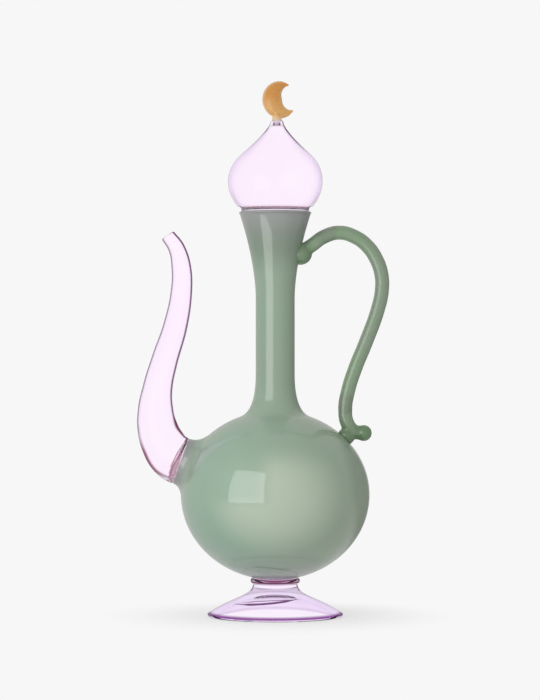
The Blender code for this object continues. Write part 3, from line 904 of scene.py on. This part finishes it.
# Foot: hollow bell on a flat ring, and the collar between it and the bulb
foot = {
    "radius": 44.7,
    "height": 21.2,
    "waist": 14.7,
    "rimWidth": 3.4,
    "rimHeight": 1.6,
    "rimRound": 1.2,
    "hollowHeight": 13.8,
    "stemPull": 0.60,
    "rimPull": (0.50, 0.54),
    "hollowPull": (0.35, 0.62),
    "steps": 224,
    "lineWidth": 0.8,
    "lineDepth": 0.9,
    "lineZone": (15.5, 17.5),
    "bandHeight": 1.8,
    "bandHalf": (0.8, 1.5),
    "bandFade": (-8.0, 16.0),
    "bandBehind": 0.3,
}

collar = {
    "radius": 16.3,
    "edgeHeight": 3.9,
    "gap": 0.3,
    "lineWidth": 0.7,
    "lines": ((1.2, 1.0), (3.0, 0.75)),  # height above the collar's underside, strength
    "lineHalf": (0.35, 0.85),
}


def makeFoot():
    s = foot
    lift, spread = s["height"] - s["rimHeight"], s["radius"] - s["waist"]
    edge = (s["radius"], s["rimHeight"])
    upper = (s["waist"], s["rimHeight"] + s["stemPull"] * lift)
    lower = (s["waist"] + s["rimPull"][0] * spread, s["rimHeight"] + s["rimPull"][1] * lift)
    outline = [(0, s["height"]), (s["waist"] - 1.5, s["height"])]
    outline += bezierCurve([(s["waist"], s["height"]), upper, lower, edge], 48)
    outline += bezierCurve([edge, (s["radius"], 0), (s["radius"] - s["rimRound"], 0)], 8)[1:]
    ring, top = s["radius"] - s["rimWidth"], s["hollowHeight"]
    inward, up = s["hollowPull"]
    ceiling = [(ring, 0), (ring - inward * ring, up * top), (inward * ring, top), (0, top)]
    outline += bezierCurve(ceiling, 48)
    shape = bmesh.new()
    turnOutline(shape, outline, s["steps"])

    def edgeAt(point, facing):
        return rimStart(s["lineWidth"], max(math.hypot(point.x, point.y), 3))

    # painted shade on the stem's rims
    def edgeDeep(point, facing):
        return s["lineDepth"] * smoothStep(*s["lineZone"], point.z) if abs(facing.z) < 0.7 else 0.0

    def deep(point, facing):
        if math.hypot(point.x, point.y) < s["radius"] - s["rimWidth"] or facing.z < -0.2:
            return 0.0
        front = 1 - (1 - s["bandBehind"]) * smoothStep(*s["bandFade"], point.y)
        return front * (1 - smoothStep(*s["bandHalf"], abs(point.z - s["bandHeight"])))

    def hollow(point, facing):
        return 1.0 if facing.z < -0.2 and point.z > 1 else 0.0

    marks = {"edgeAt": edgeAt, "edgeDeep": edgeDeep, "deep": deep, "hollow": hollow}
    finishPiece("foot_glass", shape, footPink, "foot", "vessel", marks)


def makeCollar():
    s = collar
    bottom = foot["height"] + s["gap"]
    half = s["edgeHeight"] / 2
    bulge = ovalArc(half, bottom + half, half, math.pi / 2, -math.pi / 2, 16)
    inner = s["radius"] - half
    outline = [(inner * i / 12, bottom + s["edgeHeight"]) for i in range(12)]
    outline += [(inner + p.x, p.y) for p in bulge]
    outline.append((0, bottom))
    shape = bmesh.new()
    turnOutline(shape, outline, foot["steps"])
    wide, tall = jug["bulbRadius"] + s["gap"], jug["bulbDrop"] + s["gap"]
    for vertex in shape.verts:
        p = vertex.co
        p.z = min(p.z, jug["middle"] - tall * math.sqrt(1 - (math.hypot(p.x, p.y) / wide) ** 2))

    def edgeAt(point, facing):
        return rimStart(s["lineWidth"], s["radius"])

    # painted shade on the collar's rims
    def edgeDeep(point, facing):
        return 1.0 if abs(facing.z) < 0.7 else 0.0

    def deep(point, facing):
        high = point.z - bottom
        return max(share * (1 - smoothStep(*s["lineHalf"], abs(high - at))) for at, share in s["lines"])

    marks = {"edgeAt": edgeAt, "edgeDeep": edgeDeep, "deep": deep}
    finishPiece("collar_glass", shape, collarPink, "foot_collar", "vessel", marks)


makeFoot()
makeCollar()


# Stopper: hollow onion dome on a tapered plug
stopper = {
    "overhang": 7.25,
    "bellyHeight": 20.1,
    "drop": 27.5,
    "rise": 26.0,
    "crownHeight": 37.9,
    "height": 59.7,
    "tipRadius": 4.2,
    "tipThickness": 3.0,
    "wall": 1.8,
    "lean": 0.028,
    "grooveHeight": 2.2,
    "grooveInset": 1.6,
    "grooveLip": 1.3,
    "plugLength": 16.0,
    "plugWall": 2.0,
    "clearance": 0.4,
    "gap": 0.3,
    "steps": 256,
    "lineWidth": 0.7,
    "lineZone": (34, 46),
    "lineLeft": 0.35,
    "grooveShare": 0.6,
    "ceilingShare": 0.35,
}


def makeStopper():
    s = stopper
    belly = jug["mouthRadius"] + s["overhang"]
    crown = math.asin((s["crownHeight"] - s["bellyHeight"]) / s["rise"])
    low = -math.asin((s["bellyHeight"] - s["grooveHeight"] - s["grooveLip"]) / s["drop"])
    top = ovalArc(belly, s["bellyHeight"], s["rise"], crown, 0, 24)
    bottom = ovalArc(belly, s["bellyHeight"], s["drop"], 0, low, 20)
    shoulder = top[0]
    fall = s["rise"] / belly / math.tan(crown)
    corner = (s["tipRadius"], shoulder.y + (shoulder.x - s["tipRadius"]) * fall)
    outer = bezierCurve([(s["tipRadius"], s["height"]), corner, shoulder], 36) + top[1:] + bottom[1:]
    groove = jug["mouthRadius"] - s["grooveInset"]
    plugTop = jug["mouthRadius"] - jug["wall"] - s["clearance"]
    plugLow = flareRadius(mouthHeight - s["plugLength"]) - jug["wall"] - 2 * s["clearance"]
    inner = shiftRight(outer, s["wall"])[::-1]
    inner[-1] = Vector((s["tipRadius"] - s["wall"], s["height"] - s["tipThickness"]))
    flange = bezierCurve([outer[-1], (groove, outer[-1].y - 0.4), (groove, s["grooveHeight"] - 0.6)], 8)[1:]
    seat = bezierCurve([(groove, s["gap"] + 0.4), (groove, s["gap"]), (groove - 0.4, s["gap"])], 4)
    plugRound = bezierCurve([(plugTop + 0.3, s["gap"]), (plugTop, s["gap"]), (plugTop, s["gap"] - 0.4)], 4)
    end = -s["plugLength"]
    sideTop, sideEnd = Vector((plugTop, -0.4)), Vector((plugLow, end + 0.5))
    plug = [sideTop.lerp(sideEnd, i / 12) for i in range(1, 12)]
    plugEnd = bezierCurve([sideEnd, (plugLow, end), (plugLow - 0.5, end)], 4)
    hole, throatRadius = plugLow - s["plugWall"], plugTop - s["plugWall"]
    plugInside = bezierCurve([(hole + 0.5, end), (hole, end), (hole, end + 0.5)], 4)
    throat = bezierCurve([plugInside[-1], (throatRadius, -3.0), (throatRadius, 0), inner[0]], 16)[1:-1]
    outline = [(0, s["height"]), (s["tipRadius"] - 1, s["height"])] + outer + flange + seat
    outline += plugRound + plug + plugEnd + plugInside + throat + inner
    outline.append((0, s["height"] - s["tipThickness"]))
    shape = bmesh.new()
    turnOutline(shape, outline, s["steps"])
    for vertex in shape.verts:
        vertex.co.x += s["lean"] * max(vertex.co.z - s["bellyHeight"], 0)
        vertex.co.z += mouthHeight

    def edgeAt(point, facing):
        height = point.z - mouthHeight
        radius = max(math.hypot(point.x - s["lean"] * max(height - s["bellyHeight"], 0), point.y), 3.5)
        return rimStart(s["lineWidth"], radius)

    # painted shade on the dome's rim above its belly, darker on the right, away from the light
    def edgeDeep(point, facing):
        if facing.x * point.x + facing.y * point.y < 0 or abs(facing.z) > 0.9:
            return 0.0
        right = s["lineLeft"] + (1 - s["lineLeft"]) * smoothStep(-2, 2, point.x)
        return right * smoothStep(*s["lineZone"], point.z - mouthHeight)

    def deep(point, facing):
        height = point.z - mouthHeight
        groove = 1 - smoothStep(0.3, 0.9, abs(height - s["grooveHeight"]))
        ceiling = 1 - smoothStep(0.15, 0.4, abs(height - s["height"] + s["tipThickness"]))
        return max(s["grooveShare"] * groove, s["ceilingShare"] * ceiling)

    marks = {"edgeAt": edgeAt, "edgeDeep": edgeDeep, "deep": deep}
    finishPiece("stopper_glass", shape, pink, "stopper", "stopper", marks)


makeStopper()


# Finial: a crescent on a short stem
moon = {
    "radius": 11.35,
    "biteRadius": 9.04,
    "biteShift": 10.76,
    "biteAngle": math.radians(9.5),
    "thickness": 7.6,
    "hornRadius": 0.9,
    "hornShare": 0.95,
    "knots": 48,
    "shift": 1.7,
    "stemRadius": 3.0,
    "stemFlare": 0.7,
    "stemLength": 3.2,
    "sides": 32,
    "voxel": 0.28,
    "smoothing": 14,
}


def makeMoon():
    s = moon
    bite, wide, narrow = s["biteShift"], s["radius"], s["biteRadius"]
    outerReach = math.pi - math.acos((wide**2 + bite**2 - narrow**2) / (2 * wide * bite))
    innerReach = math.acos((narrow**2 + bite**2 - wide**2) / (2 * narrow * bite))
    back = s["biteAngle"] + math.pi
    biteMiddle = Vector((math.cos(s["biteAngle"]), 0, math.sin(s["biteAngle"]))) * bite
    tipX = stopper["lean"] * (stopper["height"] - stopper["bellyHeight"])
    stemFoot = mouthHeight + stopper["height"] + stopper["gap"]
    middle = Vector((tipX + s["shift"], 0, stemFoot + s["stemLength"] + wide - s["stemFlare"]))

    centres, radii = [], []
    for i in range(s["knots"] + 1):
        share = (2 * i / s["knots"] - 1) * s["hornShare"]
        a, b = back + share * outerReach, back + share * innerReach
        outside = Vector((math.cos(a), 0, math.sin(a))) * wide
        inside = Vector((math.cos(b), 0, math.sin(b))) * narrow + biteMiddle
        centres.append(middle + (outside + inside) / 2)
        radii.append(max((outside - inside).length / 2, s["hornRadius"]))
    rings = []
    for i, centre in enumerate(centres):
        way = (centres[min(i + 1, s["knots"])] - centres[max(i - 1, 0)]).normalized()
        rings.append((centre, way, radii[i]))
    for side, (centre, way, radius) in ((-1, rings[0]), (1, rings[-1])):
        for turn in (25, 50, 75):
            a = math.radians(turn)
            ring = (centre + way * (side * radius * math.sin(a)), way, radius * math.cos(a))
            rings = rings + [ring] if side > 0 else [ring] + rings
    shape = bmesh.new()
    for edges in ringTube(shape, rings, s["sides"]):
        bmesh.ops.contextual_create(shape, geom=edges)
    flat = s["thickness"] / 2 / max(radii)
    bmesh.ops.transform(shape, matrix=Matrix.Diagonal((1, flat, 1, 1)), verts=shape.verts)
    stem, top = s["stemRadius"], s["stemLength"] + wide / 2
    outline = [(0, top), (stem, top)]
    outline += bezierCurve([(stem, s["stemLength"]), (stem, 0), (stem + s["stemFlare"], 0)], 8)
    outline.append((0, 0))
    turnOutline(shape, outline, 40, Vector((tipX, 0, stemFoot)))
    shape = fusedShape(shape, s["voxel"], s["smoothing"])
    finishPiece("moon_glass", shape, orange, "moon_finial", "stopper")


makeMoon()


# Studio: pale floor and surroundings, one soft box at the front left
studio = {
    "backdrop": 0.930,
    "plainLevel": 0.68,
    "plainSides": (0.83, 0.66),
    "plainHeights": (0.94, 1.06),
    "mirroredGlass": (0.90, 0.85, 0.96),
    "mirroredFloor": 0.72,
    "boxPlace": (-0.228, -0.357, 0.206),
    "boxSize": (0.33, 0.363),
    "boxPower": 0.78,
    "floorRadius": 3.0,
    "floorDrop": 0.0003,
    "floorShade": 0.93,
    "shadowReach": (0.050, 0.13),
    "underFoot": (0.036, 0.046),
    "shadowShare": 0.45,
    "gloss": 0.62,
    "glow": 1.0,
    "glowWay": (0.02, -1.0, -0.28),
    "glowReach": (0.30, 1.0),
    "shade": 0.3,
    "shadeWay": (0.70, 0.71, 0.0),
    "shadeReach": (0.80, 0.96),
}


def glossyLevel(tree, way):
    # what shiny glass mirrors: a broad glow from the front and a darker corner at the right
    s = studio
    glowSide = vectorMaths(tree, "DOT_PRODUCT", way, Vector(s["glowWay"]).normalized())
    shadeSide = vectorMaths(tree, "DOT_PRODUCT", way, Vector(s["shadeWay"]).normalized())
    glow = mapped(tree, glowSide, *s["glowReach"], s["gloss"], s["glow"])
    return times(tree, glow, mapped(tree, shadeSide, *s["shadeReach"], 1.0, s["shade"]))


def makeWorld():
    s = studio
    world = bpy.data.worlds.new("studio")
    bpy.context.scene.world = world
    world.use_nodes = True
    world.cycles.sampling_method = "NONE"
    tree = world.node_tree
    way = addNode(tree, "ShaderNodeTexCoord").outputs["Generated"]
    ways = addNode(tree, "ShaderNodeSeparateXYZ", {"Vector": way}).outputs
    plain = tree.nodes["Background"]
    plain.inputs["Color"].default_value = (1, 1, 1, 1)
    across = mapped(tree, ways["X"], -1.0, 1.0, *s["plainSides"], smooth=False)
    upwards = mapped(tree, ways["Z"], -1.0, 1.0, *s["plainHeights"], smooth=False)
    tree.links.new(times(tree, across, upwards), plain.inputs["Strength"])
    paper = (s["backdrop"],) * 3 + (1,)
    seen = addNode(tree, "ShaderNodeBackground", {"Color": paper, "Strength": 1.0})
    rays = addNode(tree, "ShaderNodeLightPath").outputs
    turnedBack = mapped(tree, rays["Glossy Depth"], 0.0, 1.0, smooth=False)
    lilac = mixColours(tree, turnedBack, (1.0, 1.0, 1.0), s["mirroredGlass"])
    beyond = addNode(tree, "ShaderNodeBackground", {"Color": lilac, "Strength": 1.0})
    warm = {"Color": (1, 0.98, 0.95, 1), "Strength": glossyLevel(tree, way)}
    shiny = addNode(tree, "ShaderNodeBackground", warm)
    last = plain.outputs[0]
    for ray, light in (("Is Glossy Ray", shiny), ("Is Transmission Ray", beyond), ("Is Camera Ray", seen)):
        mixed = addNode(tree, "ShaderNodeMixShader", {"Fac": rays[ray]})
        tree.links.new(last, mixed.inputs[1])
        tree.links.new(light.outputs[0], mixed.inputs[2])
        last = mixed.outputs[0]
    tree.links.new(last, outputOf(tree).inputs["Surface"])


def makeFloor():
    s = studio
    shape = bmesh.new()
    drop = Matrix.Translation((0, 0, -s["floorDrop"]))
    bmesh.ops.create_circle(shape, cap_ends=True, segments=96, radius=s["floorRadius"], matrix=drop)
    floor = addObject("floor", meshOf("floor", shape))
    material, tree, shader, place = startMaterial("pale floor")
    shade = (s["floorShade"],) * 3 + (1,)
    setShader(shader, {"Base Color": shade, "Roughness": 1.0, "Specular IOR Level": 0.0})
    away = vectorMaths(tree, "LENGTH", vectorMaths(tree, "SUBTRACT", place, (axisX, 0, 0)))
    fromBulb = vectorMaths(tree, "SUBTRACT", place, (axisX, 0, jug["middle"] * mm))
    way = vectorMaths(tree, "NORMALIZE", fromBulb)
    rays = addNode(tree, "ShaderNodeLightPath").outputs
    level = mapped(tree, rays["Is Diffuse Ray"], 0.0, 1.0, s["backdrop"], s["plainLevel"], smooth=False)
    level = mapped(tree, rays["Is Glossy Ray"], 0.0, 1.0, level, glossyLevel(tree, way), smooth=False)
    through = mapped(tree, rays["Glossy Depth"], 0.0, 1.0, 1.0, s["mirroredFloor"], smooth=False)
    level = mapped(tree, rays["Is Transmission Ray"], 0.0, 1.0, level, through, smooth=False)
    paper = addNode(tree, "ShaderNodeEmission", {"Color": (1, 1, 1, 1), "Strength": level})
    shadow = mapped(tree, away, *s["shadowReach"], s["shadowShare"], 0.0)
    shadow = times(tree, shadow, mapped(tree, away, *s["underFoot"]))
    shadow = times(tree, shadow, maths(tree, "SUBTRACT", 1.0, rays["Is Transmission Ray"]))
    mixed = addNode(tree, "ShaderNodeMixShader", {"Fac": maths(tree, "SUBTRACT", 1.0, shadow)})
    tree.links.new(shader.outputs[0], mixed.inputs[1])
    tree.links.new(paper.outputs[0], mixed.inputs[2])
    tree.links.new(mixed.outputs[0], outputOf(tree).inputs["Surface"])
    floor.data.materials.append(material)


def makeSoftBox():
    s = studio
    light = bpy.data.lights.new("soft box", "AREA")
    light.shape = "RECTANGLE"
    light.size, light.size_y = s["boxSize"]
    light.energy = s["boxPower"]
    lamp = addObject("soft box", light)
    lamp.location = s["boxPlace"]
    aim = Vector((axisX, 0, s["boxPlace"][2])) - lamp.location
    lamp.rotation_euler = aim.to_track_quat("-Z", "Y").to_euler()
    lamp.visible_camera = False


makeWorld()
makeFloor()
makeSoftBox()
print("studio ready")


# Camera, level and straight in front
camera = {
    "place": (0.0045, -1.83, 0.1756),
    "lens": 142.5,
}


def makeCamera():
    data = bpy.data.cameras.new("camera")
    data.lens = camera["lens"]
    data.sensor_width = 36
    eye = addObject("camera", data)
    eye.location = camera["place"]
    eye.rotation_euler = (math.pi / 2, 0, 0)
    bpy.context.scene.camera = eye


makeCamera()
bpy.context.scene.view_settings.view_transform = "Standard"
